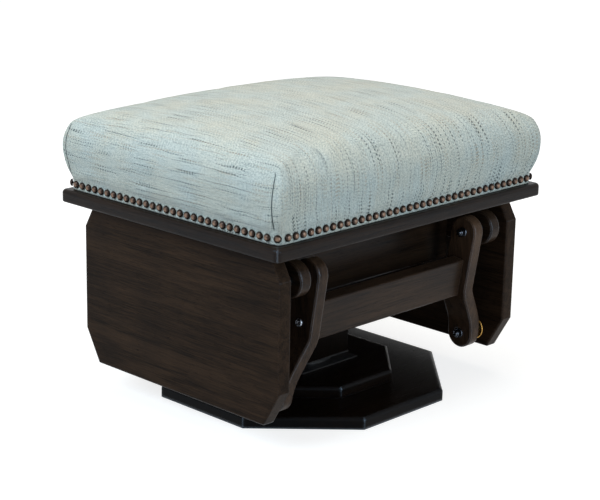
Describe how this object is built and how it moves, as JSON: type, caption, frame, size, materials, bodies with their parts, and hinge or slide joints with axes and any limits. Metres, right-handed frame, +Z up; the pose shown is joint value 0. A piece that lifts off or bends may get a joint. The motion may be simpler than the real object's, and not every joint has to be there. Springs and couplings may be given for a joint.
{
  "type": "glider ottoman",
  "caption": "Upholstered footstool whose seat glides on goose-neck links hung from a frame that turns on an octagonal wooden base.",
  "frame": {"origin": "on the floor under the swivel axis, at the centre of the octagonal base", "axes": "+X along the long side of the seat, side to side; +Y from the open front to the rear, the way the seat glides; +Z up from the floor, the shortest extent"},
  "size_m": [0.62, 0.49, 0.4664],
  "materials": {
    "stained_wood": "satin",
    "plywood": "matte",
    "bare_hardwood": "matte",
    "swivel_steel": "satin",
    "zinc_steel": "satin",
    "dark_steel": "satin",
    "brass": "satin",
    "upholstery_fabric": "matte",
    "foam": "matte"
  },
  "bodies": {
    "base": {"lower_base_plate": "stained_wood", "upper_base_plate": "stained_wood", "swivel_lower_plate": "swivel_steel", "king_bolt": "zinc_steel"},
    "standing_frame": {"swivel_upper_plate": "swivel_steel", "pedestal_board_front": "stained_wood", "pedestal_board_rear": "stained_wood", "pedestal_board_right": "stained_wood", "pedestal_board_left": "stained_wood", "platform": "stained_wood", "cross_board_front": "stained_wood", "cross_board_rear": "stained_wood", "side_rail_right": "stained_wood", "side_rail_left": "stained_wood", "upper_pivot_bolts": "dark_steel"},
    "front_links": {"front_link_right": "stained_wood", "front_link_left": "stained_wood", "front_stretcher": "stained_wood"},
    "rear_links": {"rear_link_right": "stained_wood", "rear_link_left": "stained_wood", "rear_stretcher": "stained_wood"},
    "seat": {"side_panel_right": "stained_wood", "side_panel_left": "stained_wood", "panel_inserts": "brass", "lower_pivot_studs": "dark_steel", "panel_cleat_right": "bare_hardwood", "panel_cleat_left": "bare_hardwood", "top_rail_front": "stained_wood", "top_rail_rear": "stained_wood", "top_rail_right": "stained_wood", "top_rail_left": "stained_wood", "seat_board": "plywood", "seat_foam": "foam", "seat_cover": "upholstery_fabric"}
  },
  "joints": [
    {"name": "swivel", "type": "hinge", "parent": "base", "child": "standing_frame", "pos_m": [0, 0, 0], "axis": [0, 0, 1], "continuous": true},
    {"name": "front_upper_pivot", "type": "hinge", "parent": "standing_frame", "child": "front_links", "pos_m": [0, -0.193, 0.26303], "axis": [1, 0, 0], "range_deg": [-12, 12]},
    {"name": "front_lower_pivot", "type": "hinge", "parent": "front_links", "child": "seat", "pos_m": [0, -0.1629, 0.073], "axis": [1, 0, 0], "range_deg": [-14.5, 14.5]},
    {"name": "rear_upper_pivot", "type": "hinge", "parent": "standing_frame", "child": "rear_links", "pos_m": [0, 0.193, 0.26303], "axis": [1, 0, 0], "range_deg": [-12.5, 12.5]}
  ],
  "couplings": [
    {"joint": "front_lower_pivot", "follows": "front_upper_pivot", "ratio": -1.1848},
    {"joint": "rear_upper_pivot", "follows": "front_upper_pivot", "ratio": 1}
  ]
}
